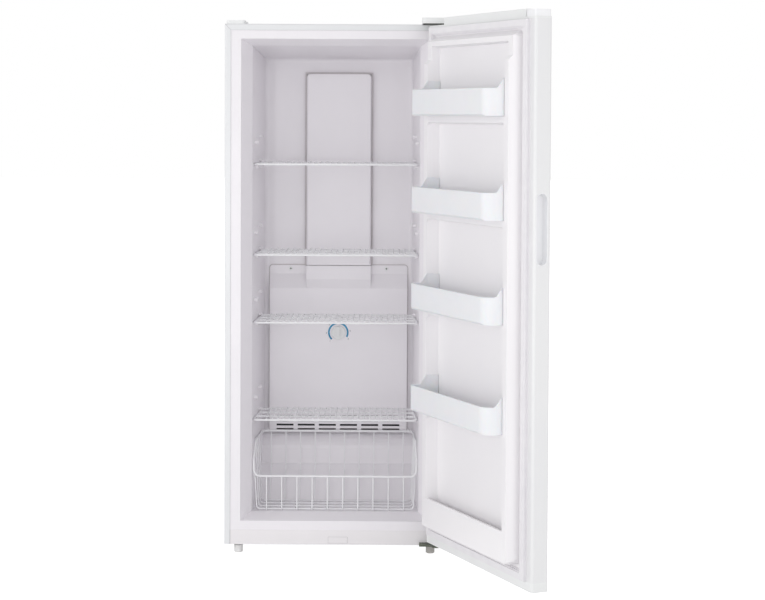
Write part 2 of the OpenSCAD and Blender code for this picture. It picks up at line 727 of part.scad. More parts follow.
// plugs over the two screws of the cover
module cover_caps() {
    face = inner_d - seat - cover_t - 0.5;
    color(white) place() for (side = [-1, 1]) translate([side * cap_x, face, cover_top - 10])
        rotate([90, 0, 0]) rotate_extrude()
            polygon([[0, -2], [2.1, -2], [2.1, 0], [5.5, 0], [5.5, 1], [4.5, 1.8], [0, 1.8]]);
}
module thermostat() {
    y = cover_y + cover_t;
    color(liner_white) place() difference() {
        union() {
            block([-34, y, knob_z - 27], [34, y + 24, knob_z + 27]);
            block([-14, y + 24 - eps, knob_z - 10], [14, y + 32, knob_z + 10]);
        }
        translate([0, y + 16, knob_z]) rotate([90, 0, 0]) cylinder(h = 20, d = 6.1);
    }
}
module thermostat_knob() {
    color(white) place() translate([0, cover_y, knob_z]) rotate([90, 0, 0]) {
        difference() {
            rotate_extrude() polygon([[0, 0.4], [knob_d / 2, 0.4], [knob_d / 2, 5],
                [knob_d / 2 - 1.5, 6.5], [0, 6.5]]);
            translate([-0.8, knob_d / 2 - 7, 5.9]) cube([1.6, 6, 2]);
        }
        intersection() {
            translate([-4.5, -knob_d / 2, 6]) cube([9, knob_d, 11]);
            rotate_extrude() polygon([[0, 0], [knob_d / 2 - 1, 0], [knob_d / 2 - 3, 16], [0, 16]]);
        }
        translate([0, 0, -16]) cylinder(h = 17, d = 6);
    }
}
duct_y = inner_d - duct_off;
duct_low = cover_top + 1.5;
module duct_seal_strip() {
    w = duct_w / 2 + duct_seal;
    c = duct_w / 2 + seat;
    color(dark) place() difference() {
        block([-w, inner_d - 9, duct_low], [w, inner_d - seat, duct_top + duct_seal]);
        block([-c, inner_d - 10, duct_low - 1], [c, inner_d, duct_top + seat]);
    }
}
module air_duct_cover() {
    w = duct_w / 2;
    h = duct_top - duct_low;
    wall = inner_d - seat;
    color(liner_white) place() difference() {
        intersection() {
            translate([0, 0, duct_low + h / 2]) front_view(concat(arc([w - 11, h / 2 - 11], 11, 0, 90),
                arc([11 - w, h / 2 - 11], 11, 90, 180), [[-w, -h / 2], [w, -h / 2]]), duct_y, wall);
            plan_view(concat([[w, wall]], [[-w, wall]], arc([5 - w, duct_y + 5], 5, 180, 270, 3),
                arc([w - 5, duct_y + 5], 5, 270, 360, 3)), duct_low, duct_top);
        }
        translate([0, 0, duct_low + h / 2])
            front_view(rounded(duct_w - 2 * cover_t, h - 2 * cover_t, 9, 3), duct_y + cover_t, inner_d);
        for (z = [duct_low + 50:110:duct_top - 70], side = [-1, 1])
            block([side * w - 4, duct_y + 5, z], [side * w + 4, duct_y + 12, z + 60]);
    }
}
module wire_shelf(z) {
    r = frame_wire / 2;
    y0 = shelf_y + r;
    y1 = shelf_y + shelf_d - r;
    x0 = wall_x(shelf_y) - 2 - r;
    x1 = x0 - (y1 - y0) * side_draft;
    n = floor((x1 - r - nub_d) / shelf_pitch);
    lift = (frame_wire + thin_wire) / 2 - 0.8;
    color(white) place() translate([0, 0, z]) {
        bent_wire([[x0, y0], [x1, y1], [-x1, y1], [-x0, y0]], 13, frame_wire, 8, true);
        for (k = [1, 2]) {
            y = y0 + k * (y1 - y0) / 3;
            x = x0 - (y - y0) * side_draft;
            rod([-x, y, 0], [x, y, 0], frame_wire - 0.6, 8);
        }
        for (i = [-n:n]) rod([i * shelf_pitch, y0 - 1, lift], [i * shelf_pitch, y1 + 1, lift], thin_wire, 6);
    }
}
module wire_shelf_1() { wire_shelf(shelf_z[0]); }
module wire_shelf_2() { wire_shelf(shelf_z[1]); }
module wire_shelf_3() { wire_shelf(shelf_z[2]); }
module wire_shelf_4() { wire_shelf(shelf_z[3]); }

module wire_basket() {
    r = frame_wire / 2;
    b = basket_wire;
    low = floor_z + seat + b / 2;
    y0 = shelf_y + r;
    y1 = shelf_y + basket_d - r;
    y_floor = shelf_y + basket_floor_d;
    front = low + basket_front;
    back = low + basket_back;
    bend_z = front + 40;
    rise_y = y0 + 50;
    slope_z = low + (y1 - y_floor) * (hump_z - hump_r - 42 - floor_z) / (hump_y - floor_d);
    x0 = wall_x(shelf_y) - 2.5 - r;
    x1 = x0 - (y1 - y0) * side_draft;
    tilt = atan(side_draft);
    function rail_z(y) = y < rise_y ? bend_z + (y - y0) * (back - bend_z) / (rise_y - y0) : back;
    function rail_x(y) = x0 - (y - y0) * side_draft;
    n = floor((x1 - 12) / basket_pitch - 0.5);
    color(white) place() {
        translate([0, y0, 0]) rotate([90, 0, 0])
            bent_wire([[-x0, bend_z], [-x0, front], [x0, front], [x0, bend_z]], 18, frame_wire + 0.4, 8);
        for (side = [-1, 1]) translate([side * x0, y0, 0]) rotate([90, 0, side * tilt + 90])
            bent_wire([[0, bend_z - 3], [0, bend_z + 8], [rise_y - y0, back],
                [(y1 - y0) / cos(tilt) - 30, back]], 6, frame_wire, 8);
        translate([0, 0, back]) bent_wire([[rail_x(y1 - 34), y1 - 34], [x1, y1], [-x1, y1],
            [-rail_x(y1 - 34), y1 - 34]], 18, frame_wire + 0.4, 8);
        for (i = [-n - 1:n]) translate([(i + 0.5) * basket_pitch, 0, 0]) rotate([90, 0, 90])
            bent_wire([[y0, front], [y0, low], [y_floor, low], [y1, slope_z], [y1, back]], 7, b, 6);
        for (k = [0:3]) {
            y = y0 + 6 + k * (basket_floor_d - 24) / 3;
            x = rail_x(y);
            translate([0, y, 0]) rotate([90, 0, 0]) bent_wire([[-x, rail_z(y)], [8 - x, low + b - 0.5],
                [x - 8, low + b - 0.5], [x, rail_z(y)]], 9, b, 6);
        }
    }
}

hinge_arm = 18;
notch_low = door_top - 19;
top_bush = notch_low - 18;
module top_hinge() {
    z = cab_h;
    color(zinc) place() {
        plan_view(concat(arc(pivot, hinge_arm - 4, 180, 360, 8),
            [[half - 8, 56], [half - 64, 56], [half - 64, 14]]), z, z + 3);
        translate([pivot.x, pivot.y, top_bush]) cylinder(h = z - top_bush + 6, d = pin_d);
        for (x = [half - 54, half - 16], y = [24, 46])
            translate([x, y, z + 3 - eps]) cylinder(h = 4, d = 11, $fn = 6);
    }
}
module hinge_cover() {
    x = [half - 68, half - 4];
    y = [pivot.y - 18, 62];
    z = cab_h + seat;
    r = 8;
    c = [(x[0] + x[1]) / 2, (y[0] + y[1]) / 2];
    color(white) place() difference() {
        plan_view([for (q = rounded(x[1] - x[0], y[1] - y[0], r)) q + c], z, z + 15.5);
        plan_view([for (q = rounded(x[1] - x[0] - 4, y[1] - y[0] - 4, r - 2)) q + c], z - 1, z + 13.5);
    }
}
// plug over the unused hinge holes at the top left
module hinge_hole_cover() {
    c = [29 - half, 30];
    color(white) place() {
        plan_view([for (q = rounded(50, 52, 8)) q + c], cab_h, cab_h + 10);
        translate([c.x + 25 - eps, c.y - 8, cab_h]) cube([7, 16, 6]);
    }
}
module bottom_hinge() {
    x = [half - 69, half - 4];
    plate_z = door_low - 9;
    color(zinc) place() {
        plan_view(concat(arc(pivot, hinge_arm - 2, 180, 360, 8), [[x[1], 0], [x[0], 0], [x[0], -10]]),
            plate_z - 4, plate_z);
        block([x[0], -4, -3], [x[1], 0, plate_z]);
        difference() {
            block([x[0], -4, -3], [x[1], 50, 0]);
            translate([foot_at.x, foot_at.y, -4]) cylinder(h = 6, d = stem_d + 1);
        }
        translate([pivot.x, pivot.y, plate_z - eps]) cylinder(h = 7, d = 14);
        translate([pivot.x, pivot.y, plate_z - 1]) cylinder(h = 28, d = pin_d);
    }
}
module foot_bracket() {
    x = half - sheet_t;
    color(zinc) place() difference() {
        union() {
            block([-x, 12.5, sheet_t], [x, 64, sheet_t + 2]);
            for (side = [-1, 1]) translate([side * foot_at.x, foot_at.y, sheet_t]) cylinder(h = 9, d = 16);
        }
        for (side = [-1, 1]) translate([side * foot_at.x, foot_at.y, 0])
            cylinder(h = 20, d = stem_d + 0.1);
    }
}
module front_foot(side) {
    color(dark) place() translate([side * foot_at.x, foot_at.y, -foot_h]) {
        rotate_extrude() polygon([[0, 0], [foot_d / 2 - 2, 0], [foot_d / 2, 2],
            [foot_d / 2, foot_h - 6], [foot_d / 2 - 1, foot_h - 5], [0, foot_h - 5]]);
        translate([0, 0, foot_h - 6]) cylinder(h = base_z + 5, d = stem_d);
    }
}
module foot_left() { front_foot(-1); }
module foot_right() { front_foot(1); }
roller_w = 12;
roller_r = foot_h / 2 - 1.5;
roller_z = roller_r - foot_h;
module roller_brackets() {
    color(zinc) place() for (side = [-1, 1]) translate([side * roller_at.x, roller_at.y, 0])
        difference() {
            union() {
                block([-12, -16, -1.5], [12, 16, 0]);
                for (s = [-1, 1]) translate([s * (roller_w / 2 + 2), 0, 0])
                    side_view(concat([[-12, 0]], arc([0, roller_z], 7, 180, 360, 6), [[12, 0]]), -0.8, 0.8);
            }
            translate([-20, 0, roller_z]) rotate([0, 90, 0]) cylinder(h = 40, d = axle_d);
        }
}
module roller_axles() {
    color(zinc) place() for (side = [-1, 1]) translate([side * roller_at.x - 10, roller_at.y, roller_z])
        rotate([0, 90, 0]) cylinder(h = 20, d = axle_d);
}
module roller(side) {
    color(dark) place() translate([side * roller_at.x - roller_w / 2, roller_at.y, roller_z])
        rotate([0, 90, 0]) rotate_extrude() polygon([[axle_d / 2 + 0.05, 0], [roller_r - 1, 0],
            [roller_r, 1], [roller_r, roller_w - 1], [roller_r - 1, roller_w], [axle_d / 2 + 0.05, roller_w]]);
}
module roller_left() { roller(-1); }
module roller_right() { roller(1); }

door_in = -door_gap;
door_out = -door_gap - door_t;
door_r = 7;
skin = sheet_t;
// plan of the door, drawn in by t
function door_plan(t) = [for (q = rounded(cab_w - 2 * t, door_t - 2 * t, door_r - t))
    q + [0, (door_in + door_out) / 2]];
// a point at height n above the door's inner face
function above(n) = door_in + n;
module grip_space(t, depth) {
    translate([0, above(-22), grip_z]) side_view(rounded(grip_w + 2 * t, grip_l + 2 * t,
        grip_w / 2 + t, 6), -half - 1, depth - half);
}
module door_panel() {
    low = door_low + cap_h;
    high = door_top - cap_h;
    color(white) on_door() difference() {
        plan_view(door_plan(0), low, high);
        plan_view(door_plan(skin), low - 1, high + 1);
        block([door_return - half, above(-5), low - 1], [half - door_return, 0, high + 1]);
        grip_space(0, 10);
    }
}
// the two corners cut away for the hinge and its opposite
hinge_notch = 95;
plug_notch = 50;
module notches(t, top) {
    block([half - hinge_notch - t, door_out - 1, notch_low - t], [half + 1, door_in + 1, top]);
    block([-half - 1, door_out - 1, notch_low - t], [plug_notch - half + t, door_in + 1, top]);
}
module door_top_cap() {
    low = door_top - cap_h;
    t = 2.5;
    color(white) on_door() difference() {
        plan_view(door_plan(0), low, door_top);
        difference() {
            plan_view(door_plan(t), low - 1, door_top - t);
            notches(t, door_top + 1);
        }
        notches(0, door_top + 1);
        block([door_return - half, above(-5), low - 1], [half - door_return, 0, low + 0.2]);
        translate([pivot.x, pivot.y, low - 1]) cylinder(h = 40, d = 14);
    }
}
module door_bottom_cap() {
    high = door_low + cap_h;
    t = 2.5;
    color(white) on_door() difference() {
        plan_view(door_plan(0), door_low, high);
        plan_view(door_plan(t), door_low + t, high + 1);
        translate([pivot.x, pivot.y, door_low - 1]) cylinder(h = 40, d = 14);
    }
}
module notch_plug() {
    color(grey) on_door() translate([0, 0, notch_low])
        plan_view([for (q = rounded(plug_notch - 4, door_t - 3, 5))
            q + [plug_notch / 2 - half + 1.2, (door_in + door_out) / 2]], 0, 17);
}
module hinge_bushings() {
    color(dark) on_door() translate([pivot.x, pivot.y, 0]) {
        translate([0, 0, top_bush]) bushing(notch_low - top_bush, 1);
        translate([0, 0, door_low - 1.7]) bushing(20, 0);
    }
}
// a flanged sleeve of length l, its flange at the upper or the lower end
module bushing(l, up) {
    bore = pin_d / 2 + pin_fit;
    z = up * l;
    rotate_extrude() polygon(up == 1
        ? [[bore, 0], [7, 0], [7, l], [10, l], [10, l + 1.7], [bore, l + 1.7]]
        : [[bore, 0], [10, 0], [10, 1.7], [7, 1.7], [7, l], [bore, l]]);
}
module door_foam() {
    t = 2.5;
    face = above(-liner_t);
    color([0.93, 0.86, 0.62]) on_door() difference() {
        union() {
            intersection() {
                plan_view(door_plan(skin), door_low + cap_h, door_top - cap_h);
                block([-half, -200, 0], [half, face, door_top]);
            }
            plan_view(door_plan(t), door_low + t, door_low + cap_h + eps);
            plan_view(door_plan(t), door_top - cap_h - eps, door_top - t);
            difference() {
                raised(liner_t, -liner_t - 1);
                panels(liner_t);
            }
        }
        notches(t, door_top + 1);
        grip_space(0, grip_d);
        translate([pivot.x, pivot.y, door_low - 1]) cylinder(h = 24, d = 20);
        translate([pivot.x, pivot.y, top_bush - 4]) cylinder(h = 40, d = 14);
    }
}
dike_low = mouth_low + 7.8;
dike_high = mouth_top + 3;
crest_break = dike_high - 73;
dike_slope = 6;
top_slope = 14;
// the raised border and all it surrounds, drawn in by t, from height n0 up
module raised(t, n0) {
    x = dike_x - t;
    n = dike_n - t;
    intersection() {
        plan_view([[-x, above(n0)], [-x, above(0)], [dike_slope - x, above(n)],
            [x - dike_slope, above(n)], [x, above(0)], [x, above(n0)]], 0, door_top);
        side_view([[above(n0), dike_low + t], [above(0), dike_low + t],
            [above(n), dike_low + t + dike_slope], [above(n), crest_break],
            [above(n - dike_step), crest_break + dike_step - t / 2],
            [above(n - dike_step), dike_high - t - top_slope], [above(0), dike_high - t],
            [above(n0), dike_high - t]], -half, half);
        translate([0, 0, (dike_low + dike_high) / 2])
            front_view(rounded(2 * x, dike_high - dike_low - 2 * t, 26 - t), -half, half);
    }
}
panel_x = dike_x - dike_slope - dike_w;
panel_top = dike_high - 26;
// the recessed panels between the ledges, each grown by t
module panels(t) {
    lows = [for (z = bin_z) z - seat];
    for (i = [0:len(bin_z) - 1])
        panel(lows[i], i == 0 ? panel_top : lows[i - 1] - ledge_t, t);
    panel(pocket_low, lows[len(bin_z) - 1] - ledge_t, t);
}
module panel(z0, z1, t) {
    x = panel_x + t;
    n = pan_n - t;
    pocket = z0 == pocket_low;
    low = pocket ? pocket_top - t : z0 - t;
    guard = pocket ? dike_n - guard_t + t : dike_n - 4;
    intersection() {
        plan_view([[8 - x, above(n)], [-x, above(dike_n)], [-x, above(dike_n + 9)],
            [x, above(dike_n + 9)], [x, above(dike_n)], [x - 8, above(n)]], z0 - t, z1 + t);
        side_view([[above(n), z0 - t], [above(guard), z0 - t], [above(guard), low],
            [above(dike_n + 9), low], [above(dike_n + 9), z1 + t + 3],
            [above(dike_n - 6), z1 + t], [above(n), z1 + t - 5]], -half, half);
        translate([0, 0, (z0 + z1) / 2])
            front_view(concat(arc([x - 18, (z1 - z0) / 2 + t - 14], 18, 0, 90),
                arc([18 - x, (z1 - z0) / 2 + t - 14], 18, 90, 180),
                [[-x, (z0 - z1) / 2 - t], [x, (z0 - z1) / 2 - t]]), -half, half);
    }
}
module door_liner() {
    color(white) on_door() difference() {
        union() {
            block([door_return - half, above(-liner_t), door_low + cap_h],
                [half - door_return, above(0), door_top - cap_h]);
            raised(0, -liner_t);
        }
        difference() {
            raised(liner_t, -liner_t - 1);
            panels(liner_t);
        }
        panels(0);
    }
}
// layers of the magnetic seal, drawn in from its outer and its inner edge
module seal_ring(from, to, n0, n1) {
    x = half - door_return;
    low = door_low + door_return;
    high = door_top - door_return;
    difference() {
        block([from - x, above(n0), low + from], [x - from, above(n1), high - from]);
        block([to - x, above(n0) - 1, low + to], [x - to, above(n1) + 1, high - to]);
    }
}
module door_seal() {
    n = door_gap - seal_gap;
    color([0.86, 0.86, 0.87]) on_door() {
        seal_ring(0.4, seal_w, 0, 3);
        seal_ring(3, seal_w - 3, 3 - eps, n - 4);
        seal_ring(1.5, seal_w - 6, n - 4 - eps, n);
    }
}
module grip_pocket() {
    color(grey) on_door() difference() {
        intersection() {
            grip_space(-0.1, grip_d - 0.1);
            block([-half, -200, 0], [half, 0, door_top]);
        }
        grip_space(-2, grip_d - 2);
    }
}
module door_bin(z) {
    x = panel_x - 2;
    n0 = pan_n + seat + 0.5;
    taper = 8 * (dike_n - n0) / (dike_n - pan_n);
    n1 = bin_n;
    hinge_r = 9;
    t = bin_t;
    function outline(t) = concat([[x - taper - t, above(n0 + t)], [x - t, above(dike_n)]],
        arc([x - hinge_r, above(n1 - hinge_r)], hinge_r - t, 0, 90, 4),
        arc([bin_r - x, above(n1 - bin_r)], bin_r - t, 90, 180, 8),
        [[t - x, above(dike_n)], [taper + t - x, above(n0 + t)]]);
    color([0.90, 0.92, 0.93]) on_door() difference() {
        intersection() {
            plan_view(outline(0), z, z + bin_h + bin_rise);
            side_view([[above(n0), z], [above(n1 - 5), z], [above(n1), z + 5], [above(n1), z + bin_h],
                [above(n1 - 30), z + bin_h], [above(n1 - 48), z + bin_h + bin_rise],
                [above(n0), z + bin_h + bin_rise]], -half, half);
        }
        plan_view(outline(t), z + t, z + 200);
        block([taper + t - x, above(n0 - 1), z + 16], [x - taper - t, above(n0 + t + 1), z + 200]);
    }
}
module door_bin_1() { door_bin(bin_z[0]); }
module door_bin_2() { door_bin(bin_z[1]); }
module door_bin_3() { door_bin(bin_z[2]); }
module door_bin_4() { door_bin(bin_z[3]); }

outer_wrapper();
bottom_rail();
back_panel();
machine_bulkhead();
foam_insulation();
inner_liner();
compressor_base();
compressor();
compressor_grommets();
terminal_box();
condenser();
discharge_tube();
filter_drier();
capillary_tube();
suction_tube();
drain_pan();
drain_tube();
compressor_cover();
cord_inlet();
evaporator_coil();
defrost_heater();
drain_trough();
fan_shroud();
fan_motor();
evaporator_fan();
evaporator_cover();
cover_caps();
thermostat();
thermostat_knob();
duct_seal_strip();
air_duct_cover();
wire_shelf_1();
wire_shelf_2();
wire_shelf_3();
wire_shelf_4();
wire_basket();
top_hinge();
hinge_cover();
hinge_hole_cover();
bottom_hinge();
foot_bracket();
foot_left();
foot_right();
roller_brackets();
roller_axles();
roller_left();
roller_right();
door_panel();
door_top_cap();
door_bottom_cap();
notch_plug();
hinge_bushings();
door_foam();
door_liner();
door_seal();
grip_pocket();
door_bin_1();
door_bin_2();
door_bin_3();
door_bin_4();
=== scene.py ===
"""An upright freezer with its door standing open, in a plain white studio."""
import math
import bmesh
import bpy
from mathutils import Matrix, Vector


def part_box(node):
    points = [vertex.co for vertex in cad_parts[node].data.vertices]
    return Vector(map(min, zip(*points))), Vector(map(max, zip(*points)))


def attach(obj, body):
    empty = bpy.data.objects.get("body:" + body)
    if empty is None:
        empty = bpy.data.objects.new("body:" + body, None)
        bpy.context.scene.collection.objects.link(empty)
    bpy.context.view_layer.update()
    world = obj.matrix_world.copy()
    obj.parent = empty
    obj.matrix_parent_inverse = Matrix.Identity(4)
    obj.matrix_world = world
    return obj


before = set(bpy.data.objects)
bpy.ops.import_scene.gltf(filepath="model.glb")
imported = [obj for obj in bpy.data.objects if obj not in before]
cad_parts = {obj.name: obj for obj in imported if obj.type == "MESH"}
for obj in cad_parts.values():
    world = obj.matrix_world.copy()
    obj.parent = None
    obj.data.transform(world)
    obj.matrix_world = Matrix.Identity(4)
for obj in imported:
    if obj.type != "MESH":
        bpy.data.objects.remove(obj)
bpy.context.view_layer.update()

MM = 0.001
UM = 1e-6

# Places in mm: x from the cabinet's middle, y from its front edge, z from its lower edge
CABINET_DEPTH = 500
FOOT_HEIGHT = 26
BACK_WALL_Y = 345
COVER_FACE_Y = 330
COVER_WIDTH = 397
COVER_LOW_Z = 255.5
COVER_HIGH_Z = 735
KNOB_Z = 541

# The door, hung on the right, and the undersides of its four bins from the top down
HINGE_X = 280
HINGE_Y = -37
HINGE_TO_LINER = 25
DOOR_ANGLE = 114
BIN_FEET_Z = (1167, 913, 659, 391)
BIN_HALF_WIDTH = 218


def place(x, y, z):
    """A point in mm from the middle of the cabinet's front lower edge, in metres where the part stands."""
    return Vector((x * MM, (y - CABINET_DEPTH / 2) * MM, (z + FOOT_HEIGHT) * MM))


def on_door(x, depth, z):
    """A point on the inner side of the shut door, some mm in from its liner, turned with the door."""
    a = math.radians(DOOR_ANGLE)
    across, out = x - HINGE_X, depth + HINGE_TO_LINER
    turned_x = HINGE_X + across * math.cos(a) - out * math.sin(a)
    turned_y = HINGE_Y + across * math.sin(a) + out * math.cos(a)
    return place(turned_x, turned_y, z)


# The camera, in mm, radians and pixels of the photograph

PHOTO_WIDTH, PHOTO_HEIGHT = 765, 600
FOCAL_PX = 1867.51
AXIS_ROW_PX = 179.77
SENSOR_WIDTH = 36
EYE = (152.3, -5041.9, 1163.8)
YAW, PITCH, ROLL = -0.0050, 0.0337, -0.0048


def set_camera():
    """The camera stands where the photograph was taken from; its axis meets it at AXIS_ROW_PX."""
    data = bpy.data.cameras.new("studio_camera")
    data.sensor_width = SENSOR_WIDTH
    data.lens = FOCAL_PX / PHOTO_WIDTH * SENSOR_WIDTH
    data.shift_y = (AXIS_ROW_PX - PHOTO_HEIGHT / 2) / PHOTO_WIDTH
    data.clip_end = 60
    camera = bpy.data.objects.new("studio_camera", data)
    ahead = Vector((math.sin(YAW) * math.cos(PITCH), math.cos(YAW) * math.cos(PITCH), -math.sin(PITCH)))
    right = Vector((math.cos(YAW), -math.sin(YAW), 0))
    down = ahead.cross(right)
    x_axis = math.cos(ROLL) * right + math.sin(ROLL) * down
    y_axis = math.sin(ROLL) * right - math.cos(ROLL) * down
    turn = Matrix((x_axis, y_axis, -ahead)).transposed().to_4x4()
    camera.matrix_world = Matrix.Translation(place(*EYE)) @ turn
    bpy.context.scene.collection.objects.link(camera)
    bpy.context.scene.camera = camera


# Materials


def linear(code):
    """An sRGB hex colour as linear red, green, blue and alpha."""
    parts = [int(code[i : i + 2], 16) / 255 for i in (1, 3, 5)]
    return (*[c / 12.92 if c <= 0.04045 else ((c + 0.055) / 1.055) ** 2.4 for c in parts], 1.0)


def clear_nodes(owner):
    """Gives a material or a world an empty node tree."""
    owner.use_nodes = True
    owner.node_tree.nodes.clear()


def add(owner, kind, settings=None, **sockets):
    """Adds a node; a socket takes a plain value or a (node, output) pair to link."""
    node = owner.node_tree.nodes.new(kind)
    for name, value in (settings or {}).items():
        setattr(node, name, value)
    for name, value in sockets.items():
        key = int(name[1:]) if name[0] == "_" else name.replace("_", " ")
        if isinstance(value, tuple) and isinstance(value[0], bpy.types.Node):
            owner.node_tree.links.new(value[0].outputs[value[1]], node.inputs[key])
        else:
            node.inputs[key].default_value = value
    return node


def per_mm(size):
    """The scale of a pattern in Object coordinates whose features are that many mm across."""
    return 1 / (size * MM)


def layered(name, tone, patch, rough, patch_mm, share, spread=0.0, grain_mm=1, grain_um=0, metal=0.0,
            **shader):
    """A surface with its colour, a second tone in soft patches, a varying gloss and a fine grain.

    Returns the material, its coordinates, its shader and the node that drives the colour."""
    m = bpy.data.materials.new(name)
    clear_nodes(m)
    where = add(m, "ShaderNodeTexCoord")
    clouds = add(m, "ShaderNodeTexNoise", Vector=(where, "Object"), Scale=per_mm(patch_mm), Detail=4.0,
                 Roughness=0.55)
    cover = add(m, "ShaderNodeMapRange", {"clamp": True}, Value=(clouds, 0), From_Min=0.35,
                From_Max=0.7, To_Min=0.0, To_Max=share)
    colour = add(m, "ShaderNodeMix", {"data_type": "RGBA"}, Factor=(cover, "Result"),
                 _6=linear(tone), _7=linear(patch))
    gloss = add(m, "ShaderNodeMapRange", Value=(clouds, 0), From_Min=0.3, From_Max=0.7,
                To_Min=rough - spread, To_Max=rough + spread)
    if grain_um:
        grain = add(m, "ShaderNodeTexNoise", Vector=(where, "Object"), Scale=per_mm(grain_mm), Detail=2.0)
        bump = add(m, "ShaderNodeBump", Strength=1.0, Distance=grain_um * UM, Height=(grain, 0))
        shader["Normal"] = (bump, "Normal")
    skin = add(m, "ShaderNodeBsdfPrincipled", Base_Color=(colour, 2), Roughness=(gloss, "Result"),
               Metallic=metal, **shader)
    add(m, "ShaderNodeOutputMaterial", Surface=(skin, "BSDF"))
    return m, where, skin, colour


def finish(name, tone, patch, **looks):
    """The material alone, for a surface that needs no further layer."""
    return layered(name, tone, patch, **looks)[0]


def enamelled(name, tone, patch):
    """Pre-painted sheet steel: baked white enamel with a faint orange peel, satin under a thin coat."""
    return finish(name, tone, patch, rough=0.32, spread=0.03, patch_mm=180, share=0.6, grain_mm=3.2,
                  grain_um=9, Coat_Weight=0.15, Coat_Roughness=0.12)


def wrapper_steel():
    """Pre-painted sheet steel of the cabinet: a slightly cool white."""
    return enamelled("white_enamelled_steel", "#e7e8ea", "#e3e4e6")


def door_steel():
    """Pre-painted sheet steel of the door: the wrapper's enamel, a shade whiter."""
    return enamelled("white_enamelled_door_steel", "#ebebec", "#e8e8ea")


def rail_steel():
    """Roll-coated steel of the bottom rail: a warmer white than the wrapper, satin."""
    return finish("roll_coated_rail_steel", "#edeaec", "#e9e6e8", rough=0.36, spread=0.03, patch_mm=120,
                  share=0.6, grain_mm=3.0, grain_um=7)


def liner_sheet():
    """Vacuum-formed polystyrene sheet: smooth, slightly wavy, with a faint violet in its white."""
    return finish("formed_polystyrene_liner", "#f1eef2", "#eeebef", rough=0.34, spread=0.04,
                  patch_mm=140, share=0.6, grain_mm=5, grain_um=8)


def door_liner_sheet():
    """Vacuum-formed polystyrene of the door: the same sheet in a cleaner white."""
    return finish("formed_polystyrene_door_liner", "#f6f4f6", "#f3f1f4", rough=0.34, spread=0.04,
                  patch_mm=160, share=0.6, grain_mm=5, grain_um=7)


def white_plastic():
    """Injection-moulded polystyrene trim: plain white with a fine matt grain."""
    return finish("moulded_white_polystyrene", "#eeefef", "#eaebec", rough=0.38, spread=0.03,
                  patch_mm=50, share=0.5, grain_mm=0.8, grain_um=8)


def bin_plastic():
    """Injection-moulded polystyrene of the bins: satin, faintly translucent, so its folds look soft."""
    return finish("moulded_bin_polystyrene", "#eeeff2", "#e9ebef", rough=0.36, spread=0.05, patch_mm=90,
                  share=0.6, grain_mm=9, grain_um=10, Subsurface_Weight=0.12, Subsurface_Scale=4 * MM)


def coated_wire():
    """Drawn steel wire dipped in white epoxy: smooth and glossy, so each wire takes a thin highlight."""
    return finish("white_epoxy_coated_wire", "#f1f1f3", "#eaeaed", rough=0.34, spread=0.04, patch_mm=12,
                  share=0.5)


def grey_plastic():
    """Moulded ABS in mid grey: matt, with a spark-eroded grain."""
    return finish("moulded_grey_abs", "#a6a8ab", "#9c9ea2", rough=0.5, spread=0.05, patch_mm=30,
                  share=0.5, grain_mm=0.9, grain_um=14)


def grip_plastic():
    """Moulded ABS of the grip pocket: nearly white, smooth from use."""
    return finish("moulded_grip_abs", "#f7f7f9", "#f2f3f5", rough=0.34, spread=0.06, patch_mm=40,
                  share=0.6, grain_mm=1.4, grain_um=8)


def black_plastic():
    """Moulded polypropylene in black: low sheen, fine grain; also the black painted as shade behind the
    vents and in the plugs' slots.
    """
    return finish("moulded_black_polypropylene_and_painted_shade", "#1d1d1f", "#29292b", rough=0.5, spread=0.07,
                  patch_mm=25, share=0.6, grain_mm=0.9, grain_um=12)


def foot_plastic(name, tone, patch):
    """Moulded polypropylene of a levelling foot: matt and scuffed."""
    return finish(name, tone, patch, rough=0.5, spread=0.06, patch_mm=8, share=0.6, grain_mm=1.0,
                  grain_um=12)


def white_foot():
    """The left foot's polypropylene: off-white."""
    return foot_plastic("moulded_foot_polypropylene", "#f1f0f0", "#e2e1e1")


def grey_foot():
    """The hinge side's foot in polypropylene: a warm grey, darker than the left foot."""
    return foot_plastic("moulded_grey_foot_polypropylene", "#cbc7c4", "#b7b3b0")


def seal_vinyl():
    """Extruded soft vinyl: warm white and matt, so it takes no highlight."""
    return finish("extruded_soft_vinyl", "#edebee", "#e6e4e8", rough=0.5, spread=0.05, patch_mm=35,
                  share=0.6, grain_mm=1.6, grain_um=10)


def black_rubber():
    """Moulded black rubber: matt with a dusty bloom."""
    return finish("moulded_black_rubber", "#161617", "#2a2a2b", rough=0.75, spread=0.08, patch_mm=18,
                  share=0.7, grain_mm=1.2, grain_um=20)


def galvanised_sheet():
    """Hot-dip galvanised sheet: grey zinc in crystals 12 mm across, each paler towards its edge."""
    m, where, skin, colour = layered("galvanised_steel_sheet", "#a9adb0", "#8f9498", rough=0.42,
                                     spread=0.06, patch_mm=70, share=0.5, grain_mm=1.2, grain_um=6,
                                     metal=0.85)
    crystals = add(m, "ShaderNodeTexVoronoi", Vector=(where, "Object"), Scale=per_mm(12))
    tone = add(m, "ShaderNodeMapRange", Value=(crystals, "Distance"), To_Min=0.88, To_Max=1.08)
    shade = add(m, "ShaderNodeVectorMath", {"operation": "SCALE"}, _0=(colour, 2), Scale=(tone, "Result"))
    m.node_tree.links.new(shade.outputs["Vector"], skin.inputs["Base Color"])
    return m


def zinc_plated():
    """Stamped steel plated with zinc: dull, dark and slightly greenish."""
    return finish("zinc_plated_stamped_steel", "#7d8078", "#686b62", rough=0.4, spread=0.1, patch_mm=14,
                  share=0.7, grain_mm=1.0, grain_um=8, metal=0.8)


def chromated_steel():
    """Thick stamped steel with an olive chromate over the zinc: dark, greenish, dull."""
    return finish("olive_chromated_steel", "#5d6157", "#4b4f46", rough=0.45, spread=0.1, patch_mm=10,
                  share=0.7, grain_mm=1.0, grain_um=8, metal=0.7)


